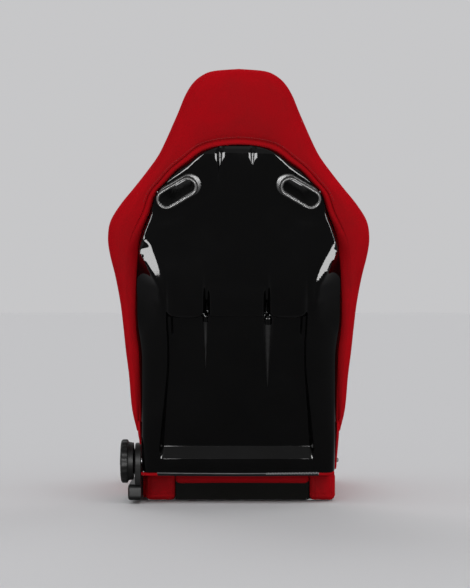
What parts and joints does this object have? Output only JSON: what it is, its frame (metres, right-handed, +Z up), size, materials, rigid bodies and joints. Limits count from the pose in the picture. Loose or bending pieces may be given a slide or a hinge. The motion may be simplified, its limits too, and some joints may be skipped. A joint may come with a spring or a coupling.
{
  "type": "racing seat",
  "caption": "Reclining bucket seat with tubular frame, cloth bolsters, gloss rear shell, harness slots and a rotary recliner dial.",
  "frame": {"origin": "under the middle of the whole seat, on the plane the rails stand on", "axes": "+Z up, the occupant faces -Y, +X is the occupant's left"},
  "size_m": [0.5396, 0.7809, 0.9115],
  "materials": {
    "red_cloth": "matt woven cloth",
    "black_cloth": "matt woven cloth",
    "gloss_black": "high gloss",
    "satin_black": "satin moulding",
    "grey_trim": "satin",
    "frame_paint": "black powder coat",
    "steel": "zinc plated"
  },
  "bodies": {
    "base": {"base_rail_left": "frame_paint", "base_rail_right": "frame_paint", "base_front_tube": "frame_paint", "base_rear_tube": "frame_paint", "base_hinge_plate_left": "frame_paint", "base_hinge_plate_right": "frame_paint", "weld_nut_front_left": "steel", "weld_nut_front_right": "steel", "weld_nut_rear_left": "steel", "weld_nut_rear_right": "steel", "hinge_bolt_1_left": "steel", "hinge_bolt_1_right": "steel", "hinge_bolt_2_left": "steel", "hinge_bolt_2_right": "steel", "seat_spring_1": "steel", "seat_spring_2": "steel", "seat_spring_3": "steel", "seat_insert": "black_cloth", "thigh_bolster_left": "red_cloth", "thigh_bolster_right": "red_cloth", "front_roll": "red_cloth", "front_apron": "red_cloth", "side_skirt_left": "red_cloth", "side_skirt_right": "red_cloth", "rear_strip": "red_cloth", "rear_corner_left": "red_cloth", "rear_corner_right": "red_cloth", "rear_panel": "black_cloth", "recliner_fixed_gear": "steel", "recliner_cover": "satin_black", "recliner_lower_cover": "satin_black"},
    "backrest": {"back_wrap": "red_cloth", "head_pad": "red_cloth", "shoulder_bolster_left": "red_cloth", "shoulder_bolster_right": "red_cloth", "side_bolster_left": "red_cloth", "side_bolster_right": "red_cloth", "upper_insert": "black_cloth", "lower_insert": "black_cloth", "rear_shell": "gloss_black", "harness_bezel_front_left": "satin_black", "harness_bezel_front_right": "satin_black", "harness_bezel_rear_left": "satin_black", "harness_bezel_rear_right": "satin_black", "shell_trim_strip": "grey_trim", "back_frame_hoop": "frame_paint", "back_lower_tube": "frame_paint", "back_upper_tube": "frame_paint", "back_hinge_plate_left": "frame_paint", "back_hinge_plate_right": "frame_paint", "back_spring_1": "steel", "back_spring_2": "steel", "recliner_ring_gear": "steel", "pivot_bush_right": "steel", "pivot_bolt_right": "steel", "pivot_nut_right": "steel"},
    "dial": {"recliner_dial": "satin_black", "dial_cap": "grey_trim", "recliner_shaft": "steel"}
  },
  "joints": [
    {"name": "recline", "type": "hinge", "parent": "base", "child": "backrest", "pos_m": [0, 0.1146, 0.092], "axis": [1, 0, 0], "range_deg": [-50, 25]},
    {"name": "dial_turn", "type": "hinge", "parent": "base", "child": "dial", "pos_m": [0, 0.1146, 0.092], "axis": [1, 0, 0], "continuous": true}
  ],
  "couplings": [
    {"joint": "dial_turn", "follows": "recline", "ratio": 34}
  ]
}
